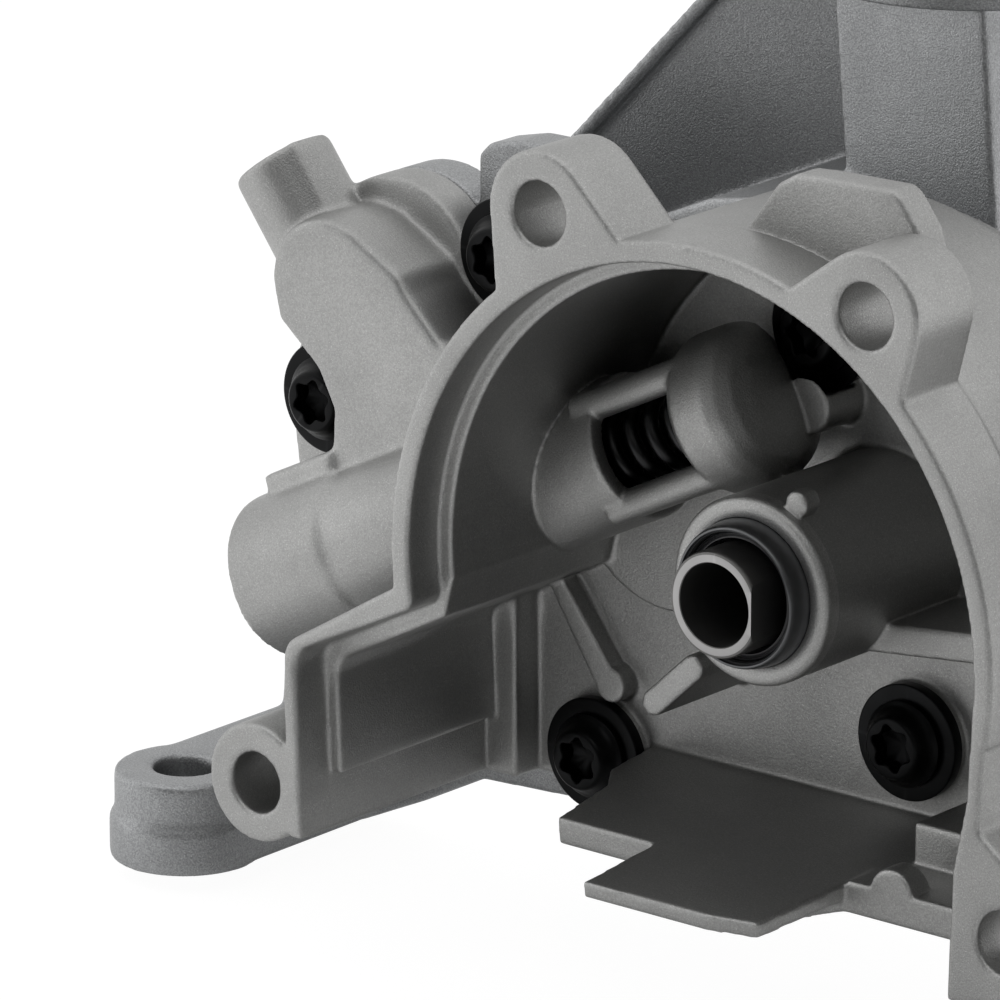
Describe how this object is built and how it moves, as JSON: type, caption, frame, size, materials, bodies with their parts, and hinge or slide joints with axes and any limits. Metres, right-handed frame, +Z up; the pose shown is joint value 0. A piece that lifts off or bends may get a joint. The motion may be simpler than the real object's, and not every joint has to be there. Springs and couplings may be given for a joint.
{
  "type": "engine oil pump",
  "caption": "Cast aluminium gear oil pump with a sprung relief valve, a driven shaft stub, bolting ears and a suction neck.",
  "frame": {"origin": "on the drive shaft's axis, in the mounting face of the front housing", "axes": "+X to the right as seen from the mounting face's side, +Y back along the drive shaft, +Z up along the neck"},
  "size_m": [0.1928, 0.112, 0.144],
  "materials": {
    "cast_front": "fine shot-blasted die casting",
    "cast_rear": "coarser blasted die casting",
    "shaft_steel": "dark hardened steel",
    "gear_steel": "ground steel",
    "spring_steel": "black oiled steel",
    "black_steel": "satin black phosphate",
    "bronze": "bearing bronze",
    "rubber": "matte"
  },
  "bodies": {
    "housing": {"front_housing": "cast_front", "rear_housing": "cast_rear", "idler_pin": "gear_steel", "front_shaft_bush": "bronze", "rear_shaft_bush": "bronze", "shaft_seal": "rubber", "relief_spring": "spring_steel", "relief_plug": "gear_steel", "plug_o_ring": "rubber", "plug_snap_ring": "spring_steel", "sleeve_upper": "gear_steel", "sleeve_lower": "gear_steel", "housing_screw_1": "black_steel", "housing_screw_2": "black_steel", "housing_screw_3": "black_steel", "housing_screw_4": "black_steel", "housing_screw_5": "black_steel", "housing_screw_6": "black_steel", "housing_screw_7": "black_steel", "screw_washer_1": "black_steel", "screw_washer_2": "black_steel", "screw_washer_3": "black_steel", "screw_washer_4": "black_steel", "screw_washer_5": "black_steel", "screw_washer_6": "black_steel", "screw_washer_7": "black_steel"},
    "drive": {"drive_shaft": "shaft_steel", "drive_gear": "gear_steel", "shaft_circlip": "shaft_steel"},
    "idler": {"idler_gear": "gear_steel", "idler_bush": "bronze"},
    "piston": {"relief_piston": "shaft_steel"}
  },
  "joints": [
    {"name": "drive_spin", "type": "hinge", "parent": "housing", "child": "drive", "pos_m": [0, 0, 0], "axis": [0, 1, 0], "continuous": true},
    {"name": "idler_spin", "type": "hinge", "parent": "housing", "child": "idler", "pos_m": [-0.0374, 0, 0], "axis": [0, 1, 0], "continuous": true},
    {"name": "piston_slide", "type": "slide", "parent": "housing", "child": "piston", "axis": [0.8988, 0, 0.4384], "range_m": [0, 0.007], "stiffness_N_per_m": 1500, "springref_m": -0.004, "deforming": ["relief_spring"]}
  ],
  "couplings": [
    {"joint": "idler_spin", "follows": "drive_spin", "ratio": -1}
  ]
}
